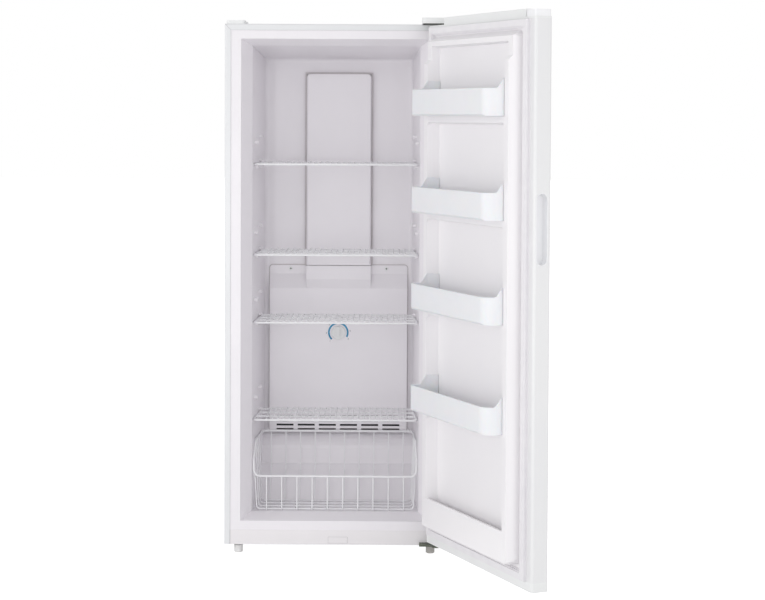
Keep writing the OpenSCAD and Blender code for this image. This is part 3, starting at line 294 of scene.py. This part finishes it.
def screw_steel():
    """Zinc-plated screw steel: bright and slightly blue."""
    return finish("zinc_plated_screw", "#b9bcc0", "#9da1a6", rough=0.3, spread=0.08, patch_mm=4,
                  share=0.6, grain_mm=0.8, grain_um=4, metal=1.0)


def black_enamel():
    """Black enamel sprayed on steel: semi-gloss, with dust lying in soft patches."""
    return finish("sprayed_black_enamel", "#161617", "#2c2c2d", rough=0.38, spread=0.1, patch_mm=45,
                  share=0.6, grain_mm=2.4, grain_um=30)


def drawn_copper():
    """Drawn copper tube: bright where clean, browner where it was brazed and handled."""
    return finish("drawn_copper_tube", "#c98a66", "#8a5138", rough=0.28, spread=0.1, patch_mm=30,
                  share=0.7, grain_mm=1.0, grain_um=5, metal=1.0)


def rolled_aluminium():
    """Plain aluminium sheet and tube: pale, with a soft and uneven gloss."""
    return finish("rolled_aluminium", "#d2d5d8", "#b9bdc1", rough=0.32, spread=0.08, patch_mm=20,
                  share=0.6, grain_mm=0.8, grain_um=5, metal=1.0)


def urethane_foam():
    """Foamed-in-place polyurethane: matt straw yellow, with open cells 1.6 mm across."""
    m, where, skin, _ = layered("poured_polyurethane_foam", "#e3cf9a", "#cdb47a", rough=0.85,
                                patch_mm=60, share=0.7)
    cells = add(m, "ShaderNodeTexVoronoi", Vector=(where, "Object"), Scale=per_mm(1.6))
    bump = add(m, "ShaderNodeBump", Strength=0.6, Distance=0.4 * MM, Height=(cells, "Distance"))
    m.node_tree.links.new(bump.outputs["Normal"], skin.inputs["Normal"])
    return m


def foam_tape(name, tone, patch, rough=0.85, grain_um=25):
    """A matt sheet whose grey is painted as the shade in a gap, with a fine cellular grain."""
    return finish(name, tone, patch, rough=rough, spread=0.05, patch_mm=12, share=0.6, grain_mm=0.9,
                  grain_um=grain_um)


def duct_strip():
    """Pale grey on the strip round the air duct, painted as the shade in the gap beside the duct: it reads
    as a soft grey line.
    """
    return foam_tape("pale_grey_painted_duct_shade", "#d9d4d6", "#d1ccce")


def vent_tape():
    """Dark grey-brown painted as the shade in the gap below the vents: matt, so the gap looks deep."""
    return foam_tape("grey_brown_painted_gap_shade", "#6f696b", "#5d585a")


def cover_tape():
    """Pale grey painted as the shade in the gap round the evaporator cover, a little smoother."""
    return foam_tape("pale_grey_cover_gap_shade", "#d3ced0", "#c8c3c5", rough=0.8, grain_um=20)


def joint_sealant():
    """Pale grey painted as the shade in the joints of the front: matt, so each reads as a thin line."""
    return finish("grey_joint_painted_shade", "#c3c1c4", "#b6b4b7", rough=0.7, spread=0.05, patch_mm=20,
                  share=0.6, grain_mm=0.8, grain_um=10)


def screen_ink(name, tone, patch):
    """Screen-printed ink: flat, satin, a little uneven in its cover."""
    return finish(name, tone, patch, rough=0.4, spread=0.03, patch_mm=22, share=0.9, grain_mm=0.6,
                  grain_um=3)


def dress_nodes(bins, rail, black):
    """Gives every node of the part the finish of the thing it is; the strip round the air duct takes a grey
    painted as the shade in the gap beside it.
    """
    finishes = {
        wrapper_steel(): ["outer_wrapper"],
        door_steel(): ["door_panel"],
        rail: ["bottom_rail"],
        galvanised_sheet(): ["back_panel", "machine_bulkhead", "compressor_base", "compressor_cover"],
        urethane_foam(): ["foam_insulation", "door_foam"],
        liner_sheet(): ["inner_liner", "evaporator_cover", "air_duct_cover"],
        door_liner_sheet(): ["door_liner"],
        white_plastic(): ["drain_tube", "fan_shroud", "cover_caps", "thermostat", "thermostat_knob",
                          "hinge_cover", "hinge_hole_cover", "door_top_cap", "door_bottom_cap"],
        bins: ["door_bin_1", "door_bin_2", "door_bin_3", "door_bin_4"],
        coated_wire(): ["wire_shelf_1", "wire_shelf_2", "wire_shelf_3", "wire_shelf_4", "wire_basket"],
        grey_plastic(): ["evaporator_fan", "hinge_bushings"],
        grip_plastic(): ["grip_pocket", "notch_plug"],
        zinc_plated(): ["top_hinge", "foot_bracket", "roller_brackets", "roller_axles"],
        chromated_steel(): ["bottom_hinge"],
        black_enamel(): ["compressor", "condenser"],
        drawn_copper(): ["discharge_tube", "filter_drier", "capillary_tube", "suction_tube"],
        rolled_aluminium(): ["evaporator_coil", "defrost_heater"],
        black: ["drain_trough", "terminal_box", "drain_pan", "fan_motor", "roller_left", "roller_right"],
        black_rubber(): ["compressor_grommets", "cord_inlet"],
        # The strip round the air duct: its grey is painted shade for the gap beside the duct
        duct_strip(): ["duct_seal_strip"],
        white_foot(): ["foot_left"],
        grey_foot(): ["foot_right"],
        seal_vinyl(): ["door_seal"],
    }
    for material, names in finishes.items():
        for name in names:
            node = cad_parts[name]
            if not node.material_slots:
                node.data.materials.append(material)
            for slot in node.material_slots:
                slot.material = material


# Small pieces

PLATE_EDGE = 0.3
SLANT = Vector((0.91, 0.39, 0.13))


def finished(name, shape, material, body="cabinet"):
    """Turns a bmesh into a piece with its finish, riding on a body."""
    mesh = bpy.data.meshes.new(name)
    shape.to_mesh(mesh)
    shape.free()
    mesh.materials.append(material)
    piece = bpy.data.objects.new(name, mesh)
    bpy.context.scene.collection.objects.link(piece)
    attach(piece, body)


def shape_of(curve):
    """The mesh of a curve or a text, as a bmesh."""
    model = bpy.data.objects.new(curve.name, curve)
    bpy.context.scene.collection.objects.link(model)
    bpy.context.view_layer.update()
    flat = bpy.data.meshes.new_from_object(model.evaluated_get(bpy.context.evaluated_depsgraph_get()))
    bpy.data.objects.remove(model)
    shape = bmesh.new()
    shape.from_mesh(flat)
    bpy.data.meshes.remove(flat)
    return shape


def thicken(shape, depth):
    """Gives a flat sheet its thickness, backwards from its face.

    Its side walls come in no fixed order, so the faces are sorted by how far along a slant they lie."""
    bmesh.ops.recalc_face_normals(shape, faces=shape.faces)
    bmesh.ops.solidify(shape, geom=shape.faces[:], thickness=depth * MM)
    bmesh.ops.recalc_face_normals(shape, faces=shape.faces)
    shape.faces.sort(key=lambda face: face.calc_center_median().dot(SLANT))


def upright(shape, x, y, z):
    """Turns a sheet drawn in XY to stand facing the front, and puts its origin at a point."""
    bmesh.ops.rotate(shape, cent=(0, 0, 0), matrix=Matrix.Rotation(math.pi / 2, 3, "X"), verts=shape.verts)
    bmesh.ops.translate(shape, vec=place(x, y, z), verts=shape.verts)


def bead(name, lines, thick, material, body="cabinet"):
    """Round beads along lines of points in metres."""
    curve = bpy.data.curves.new(name, "CURVE")
    curve.dimensions = "3D"
    curve.bevel_depth = thick / 2 * MM
    curve.bevel_resolution = 2
    curve.use_fill_caps = True
    for points in lines:
        spline = curve.splines.new("POLY")
        spline.points.add(len(points) - 1)
        for point, at in zip(spline.points, points):
            point.co = (*at, 1)
    shape = shape_of(curve)
    bmesh.ops.recalc_face_normals(shape, faces=shape.faces)
    for face in shape.faces:
        face.smooth = True
    finished(name, shape, material, body)


def plate(name, low, high, material):
    """A thin plate with broken edges between two corners."""
    shape = bmesh.new()
    bmesh.ops.create_cube(shape, size=1)
    size = [(b - a) * MM for a, b in zip(low, high)]
    bmesh.ops.scale(shape, vec=size, verts=shape.verts)
    bmesh.ops.bevel(shape, geom=shape.edges[:], offset=PLATE_EDGE * MM, segments=2, profile=0.5,
                    affect="EDGES", material=-1)
    middle = place(*[(a + b) / 2 for a, b in zip(low, high)])
    bmesh.ops.translate(shape, vec=middle, verts=shape.verts)
    finished(name, shape, material)


# The thermostat's dial, printed on the evaporator cover

PRINT_Y = COVER_FACE_Y - 0.1
RING_RADII = (24.6, 29.8)
RING_THICKNESS = 0.15
NUMBER_RADIUS = 34.5
NUMBER_HEIGHT = 7.5
NUMBER_HALF_THICKNESS = 0.08
NUMBER_ANGLES = (226, 183, 140, 90, 48, 8, -34)


def dial_arc(name, start, stop, ink):
    """One printed arc of the dial, between two angles counted from the right."""
    shape = bmesh.new()
    ends = [shape.verts.new((radius * MM, 0, 0)) for radius in RING_RADII]
    edge = shape.edges.new(ends)
    bmesh.ops.rotate(shape, cent=(0, 0, 0), matrix=Matrix.Rotation(math.radians(start), 3, "Z"),
                     verts=shape.verts)
    bmesh.ops.spin(shape, geom=[edge, *ends], cent=(0, 0, 0), axis=(0, 0, 1),
                   angle=math.radians(stop - start), steps=36, use_merge=False)
    thicken(shape, RING_THICKNESS)
    upright(shape, 0, PRINT_Y, KNOB_Z)
    finished(name, shape, ink)


def dial_number(digit, angle, ink):
    """A plain number printed outside the dial's arc."""
    text = bpy.data.curves.new(f"dial_number_{digit}", "FONT")
    text.body = str(digit)
    text.size = NUMBER_HEIGHT * MM
    text.align_x = "CENTER"
    text.align_y = "CENTER"
    text.extrude = NUMBER_HALF_THICKNESS * MM
    shape = shape_of(text)
    a = math.radians(angle)
    upright(shape, NUMBER_RADIUS * math.cos(a), PRINT_Y, KNOB_Z + NUMBER_RADIUS * math.sin(a))
    finished(f"dial_number_{digit}", shape, ink)


def print_dial():
    """The thermostat's printed dial: two blue arcs, open at the bottom, with plain numbers."""
    blue = screen_ink("screen_printed_blue_ink", "#2c90b8", "#1d76a2")
    grey = screen_ink("screen_printed_grey_ink", "#7d7f86", "#73757c")
    dial_arc("dial_arc_left", 95, 226, blue)
    dial_arc("dial_arc_right", -28, 83, blue)
    for digit, angle in enumerate(NUMBER_ANGLES, 1):
        dial_number(digit, angle, grey)


# The painted shade round the evaporator cover and in the slots of its two plugs

# A ring painted as the shade in the gap round the evaporator cover
SHADE_LINE_PROUD = 2.5
SHADE_LINE_CORNER = 11
SHADE_LINE_WIDTH = 7
SHADE_LINE_THICKNESS = 1.6
SHADE_LINE_Y = BACK_WALL_Y - 1.2
PLUG_X = 138
PLUG_Y = 339.9
PLUG_Z = 725
SLOT_HALF_LENGTH = 3.2
SLOT_WIDTH = 1.3


def gap_tape():
    """A pale grey ring painted as the shade in the gap round the evaporator cover: it shows as a thin line.
    """
    width = COVER_WIDTH + 2 * SHADE_LINE_PROUD
    height = COVER_HIGH_Z - COVER_LOW_Z + 2 * SHADE_LINE_PROUD
    shape = bmesh.new()
    bmesh.ops.create_grid(shape, x_segments=1, y_segments=1, size=0.5)
    bmesh.ops.scale(shape, vec=(width * MM, height * MM, 1), verts=shape.verts)
    bmesh.ops.bevel(shape, geom=shape.verts[:], offset=SHADE_LINE_CORNER * MM, segments=6, profile=0.5,
                    affect="VERTICES", material=-1)
    bmesh.ops.inset_region(shape, faces=shape.faces[:], thickness=SHADE_LINE_WIDTH * MM, use_boundary=True)
    middle = min(shape.faces, key=lambda face: face.calc_center_median().length)
    bmesh.ops.delete(shape, geom=[middle], context="FACES_ONLY")
    thicken(shape, SHADE_LINE_THICKNESS)
    upright(shape, 0, SHADE_LINE_Y, (COVER_LOW_Z + COVER_HIGH_Z) / 2)
    finished("evaporator_cover_gap_shade", shape, cover_tape())


def plug_slots(black):
    """Black cross lines painted as the shade in the slots of the two plugs near the top of the evaporator
    cover.
    """
    half = SLOT_HALF_LENGTH * MM
    arms = (Vector((half, 0, 0)), Vector((0, 0, half)))
    for name, x in (("left", -PLUG_X), ("right", PLUG_X)):
        middle = place(x, PLUG_Y, PLUG_Z)
        bead(f"cap_slot_shade_{name}", [[middle + arm, middle - arm] for arm in arms], SLOT_WIDTH, black)


# Screws on the rear sheets

WASHER_RADIUS = 3
WASHER_TOP_RADIUS = 2.52
WASHER_THICKNESS = 0.9
HEAD_STEP = 0.72
HEAD_HEIGHT = 1.32
HEAD_TAPER = 0.8
RECESS_EDGE = 0.54
RECESS_SLOPE = 0.1
RECESS_DEPTH = 0.6
PANEL_MARGIN = 7
PANEL_ROWS = 5
COVER_MARGIN = 12
COVER_TOP_MARGIN = 9
COVER_LOW_SCREWS = 30
COVER_TOP_SCREWS = 4


def screw(name, at, steel):
    """A washer-head screw with a round recess, standing on a sheet that faces the back."""
    shape = bmesh.new()
    bmesh.ops.create_cone(shape, cap_ends=True, segments=24, radius1=WASHER_RADIUS * MM,
                          radius2=WASHER_TOP_RADIUS * MM, depth=WASHER_THICKNESS * MM)
    bmesh.ops.translate(shape, vec=(0, 0, WASHER_THICKNESS / 2 * MM), verts=shape.verts)
    top = max(shape.faces, key=lambda face: face.calc_center_median().z)
    bmesh.ops.inset_region(shape, faces=[top], thickness=HEAD_STEP * MM)
    head = bmesh.ops.extrude_discrete_faces(shape, faces=[top])["faces"]
    bmesh.ops.translate(shape, vec=(0, 0, HEAD_HEIGHT * MM), verts=head[0].verts)
    bmesh.ops.scale(shape, vec=(HEAD_TAPER, HEAD_TAPER, 1), verts=head[0].verts)
    bmesh.ops.inset_region(shape, faces=head, thickness=RECESS_EDGE * MM)
    bmesh.ops.inset_region(shape, faces=head, thickness=RECESS_SLOPE * MM, depth=-RECESS_DEPTH * MM)
    bmesh.ops.recalc_face_normals(shape, faces=shape.faces)
    turn = Vector((0, 0, 1)).rotation_difference(Vector((0, 1, 0))).to_matrix()
    bmesh.ops.rotate(shape, cent=(0, 0, 0), matrix=turn, verts=shape.verts)
    bmesh.ops.translate(shape, vec=at, verts=shape.verts)
    finished(name, shape, steel)


def back_screws():
    """Screws round the rear panel and the compressor's cover, each on the sheet it holds."""
    steel = screw_steel()
    low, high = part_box("back_panel")
    margin = PANEL_MARGIN * MM
    height = high[2] - low[2] - 2 * margin
    for column, x in enumerate((low[0] + margin, high[0] - margin)):
        for row in range(PANEL_ROWS):
            z = low[2] + margin + height * row / (PANEL_ROWS - 1)
            screw(f"back_panel_screw_{column * PANEL_ROWS + row}", (x, high[1], z), steel)
    low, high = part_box("compressor_cover")
    margin = COVER_MARGIN * MM
    width = high[0] - low[0] - 2 * margin
    top_z = high[2] - COVER_TOP_MARGIN * MM
    low_z = low[2] + COVER_LOW_SCREWS * MM
    spots = [(low[0] + margin + width * k / (COVER_TOP_SCREWS - 1), top_z) for k in range(COVER_TOP_SCREWS)]
    spots += [(x, low_z) for x in (low[0] + margin, high[0] - margin)]
    for number, (x, z) in enumerate(spots):
        screw(f"compressor_cover_screw_{number}", (x, high[1], z), steel)


# The rolled rims of the door bins

RIM_THICKNESS = 3.6
RIM_SIDE = BIN_HALF_WIDTH - 1.2
RIM_FRONT = 86.8
HINGE_CORNER = 7.8
FREE_CORNER = 30.8
RIM_HEIGHT = 90.6
SIDE_DEPTHS = (9, 24, 40, 49)
SLOPE_START = 40
SLOPE_END = 58
SLOPE_DROP = 24


def arc(x, depth, radius, start, stop, steps):
    """Points along an arc round a centre, between two angles in degrees."""
    angles = [math.radians(start + (stop - start) * k / steps) for k in range(steps + 1)]
    return [(x + radius * math.cos(a), depth + radius * math.sin(a)) for a in angles]


def rim_plan():
    """A rim seen from above: out along the hinge side, round both front corners, and back."""
    plan = [(RIM_SIDE, depth) for depth in (*SIDE_DEPTHS, SLOPE_END)]
    plan += arc(RIM_SIDE - HINGE_CORNER, RIM_FRONT - HINGE_CORNER, HINGE_CORNER, 0, 90, 6)
    plan += arc(-RIM_SIDE + FREE_CORNER, RIM_FRONT - FREE_CORNER, FREE_CORNER, 90, 180, 8)
    plan += [(-RIM_SIDE, depth) for depth in reversed(SIDE_DEPTHS)]
    return plan


def bin_rims(plastic):
    """The rolled rim along the top of each door bin: high ends, a slope, a low front."""
    for number, foot_z in enumerate(BIN_FEET_Z, 1):
        rim = []
        for x, depth in rim_plan():
            share = (depth - SLOPE_START) / (SLOPE_END - SLOPE_START)
            drop = min(max(share, 0), 1) * SLOPE_DROP
            rim.append(on_door(x, depth, foot_z + RIM_HEIGHT - drop))
        bead(f"bin_{number}_rim", [rim], RIM_THICKNESS, plastic, f"bin_{number}")


# The front's joints drawn as lines of painted shade, dark sheets painted as shade below and behind the
# vents, and the flap on the rail

JOINT_X = 283.4
JOINT_TOP_Z = 1396
CORNER_X = 299.4
CORNER_Z = 1412.4
JOINT_Y = 0.15
JOINT_THICKNESS = 0.9
RAIL_LOW_Z = 1
RAIL_TOP_Z = 39.6
RAIL_JOINT_Y = 0.1
RAIL_JOINT_THICKNESS = 1.6
FLAP_LOW = (-16, -0.7, 5)
FLAP_HIGH = (36, 0.4, 21)
FLAP_GAP = 0.4
FLAP_JOINT_Y = -0.1
FLAP_JOINT_THICKNESS = 0.8
# Dark sheets painted as shade: one in the gap below the vents, one at the back of the recess behind them
VENT_SHADE_LOW = (-184, 343.2, 257.9)
VENT_SHADE_HIGH = (184, 344.6, 262)
RECESS_SHADE_LOW = (-186, 428.2, 266)
RECESS_SHADE_HIGH = (186, 429.6, 330)


def front_joints(painted_shade):
    """The fine joints of the front as grey lines of painted shade: wrapper to liner with its mitred
    corners, and the rail's ends.
    """
    turns = ((-JOINT_X, RAIL_TOP_Z), (-JOINT_X, JOINT_TOP_Z), (JOINT_X, JOINT_TOP_Z), (JOINT_X, RAIL_TOP_Z))
    mouth = [place(x, JOINT_Y, z) for x, z in turns]
    mitres = [[place(side * JOINT_X, JOINT_Y, JOINT_TOP_Z), place(side * CORNER_X, JOINT_Y, CORNER_Z)]
              for side in (-1, 1)]
    bead("wrapper_joint_shade", [mouth, *mitres], JOINT_THICKNESS, painted_shade)
    ends = [[place(side * JOINT_X, RAIL_JOINT_Y, z) for z in (RAIL_LOW_Z, RAIL_TOP_Z)] for side in (-1, 1)]
    bead("rail_joint_shade", ends, RAIL_JOINT_THICKNESS, painted_shade)


def small_trim(black, rail, painted_shade):
    """Dark sheets painted as shade below and behind the vents, and the small flap low on the bottom rail
    with the painted shade of its joint.
    """
    # A dark grey-brown sheet painted as the shade in the gap below the vents
    plate("vent_lower_shade_sheet", VENT_SHADE_LOW, VENT_SHADE_HIGH, vent_tape())
    # A black sheet painted as the shade at the back of the recess behind the vents
    plate("vent_recess_shade_sheet", RECESS_SHADE_LOW, RECESS_SHADE_HIGH, black)
    plate("rail_drain_flap", FLAP_LOW, FLAP_HIGH, rail)
    left, low = FLAP_LOW[0] - FLAP_GAP, FLAP_LOW[2] - FLAP_GAP
    right, high = FLAP_HIGH[0] + FLAP_GAP, FLAP_HIGH[2] + FLAP_GAP
    turns = ((left, low), (right, low), (right, high), (left, high), (left, low))
    loop = [place(x, FLAP_JOINT_Y, z) for x, z in turns]
    # A grey line painted as the shade in the joint round the flap
    bead("rail_flap_joint_shade", [loop], FLAP_JOINT_THICKNESS, painted_shade)


# The studio, in metres and watts

FLOOR_SIZE = 30
FLOOR_LIFT = 0.85
SURROUND = 0.665
LAMPS = [
    ("front_left_softbox", (-2.6, -3.4, 1.7), (0, 0, 0.8), (2.2, 2.0), 16),
    ("front_right_softbox", (2.2, -3.6, 1.5), (0, 0, 0.8), (1.8, 2.0), 18),
    ("left_side_softbox", (-3.8, -1.6, 1.2), (0, -0.2, 0.8), (2.0, 2.2), 21),
    ("low_front_softbox", (0.0, -3.6, 0.45), (0, 0, 0.6), (2.6, 0.7), 6),
    ("front_spot", (-1.0, -5.2, 0.9), (0, 0, 0.7), (0.16, 0.16), 11),
]


def seen(owner):
    """A node that gives 1 for what the camera sees, in a gloss or through glass too, and else 0."""
    ray = add(owner, "ShaderNodeLightPath")
    direct = add(owner, "ShaderNodeMath", {"operation": "ADD", "use_clamp": True},
                 _0=(ray, "Is Camera Ray"), _1=(ray, "Is Glossy Ray"))
    return add(owner, "ShaderNodeMath", {"operation": "ADD", "use_clamp": True}, _0=(direct, "Value"),
               _1=(ray, "Is Transmission Ray"))


def floor_paper():
    """Pale studio paper: it reflects as matt paper does, and is lifted to white where it is seen."""
    m = bpy.data.materials.new("pale_studio_floor")
    clear_nodes(m)
    paper = add(m, "ShaderNodeBsdfDiffuse", Color=linear("#f4f4f4"))
    lift = add(m, "ShaderNodeMath", {"operation": "MULTIPLY"}, _0=(seen(m), "Value"), _1=FLOOR_LIFT)
    glow = add(m, "ShaderNodeEmission", Color=(1, 1, 1, 1), Strength=(lift, "Value"))
    both = add(m, "ShaderNodeAddShader", _0=(paper, "BSDF"), _1=(glow, "Emission"))
    add(m, "ShaderNodeOutputMaterial", Surface=(both, "Shader"))
    return m


def lay_floor():
    """A plain pale floor."""
    shape = bmesh.new()
    bmesh.ops.create_grid(shape, x_segments=1, y_segments=1, size=FLOOR_SIZE)
    mesh = bpy.data.meshes.new("studio_floor")
    shape.to_mesh(mesh)
    shape.free()
    mesh.materials.append(floor_paper())
    floor = bpy.data.objects.new("studio_floor", mesh)
    bpy.context.scene.collection.objects.link(floor)


def set_surround():
    """A white surround: full white where it is seen, dimmer as a light."""
    world = bpy.data.worlds.new("white_surround")
    bpy.context.scene.world = world
    clear_nodes(world)
    strength = add(world, "ShaderNodeMapRange", Value=(seen(world), "Value"), To_Min=SURROUND, To_Max=1.0)
    sky = add(world, "ShaderNodeBackground", Color=(1, 1, 1, 1), Strength=(strength, "Result"))
    add(world, "ShaderNodeOutputWorld", Surface=(sky, "Background"))


def set_lamps():
    """Four soft lamps and a small front lamp, none of which the camera sees."""
    for name, at, look, size, watts in LAMPS:
        data = bpy.data.lights.new(name, "AREA")
        data.shape = "RECTANGLE"
        data.size, data.size_y = size
        data.energy = watts
        lamp = bpy.data.objects.new(name, data)
        lamp.visible_camera = False
        lamp.location = at
        lamp.rotation_euler = (Vector(look) - Vector(at)).to_track_quat("-Z", "Y").to_euler()
        bpy.context.scene.collection.objects.link(lamp)


bpy.context.scene.view_settings.view_transform = "Standard"
set_camera()
bins = bin_plastic()
rail = rail_steel()
# Black plastic for real black parts, also used as painted shade behind the vents and in the plugs' slots
black = black_plastic()
# Grey lines painted as the shade in the front's joints
painted_shade = joint_sealant()
dress_nodes(bins, rail, black)
print_dial()
gap_tape()
back_screws()
bin_rims(bins)
plug_slots(black)
front_joints(painted_shade)
small_trim(black, rail, painted_shade)
lay_floor()
set_surround()
set_lamps()
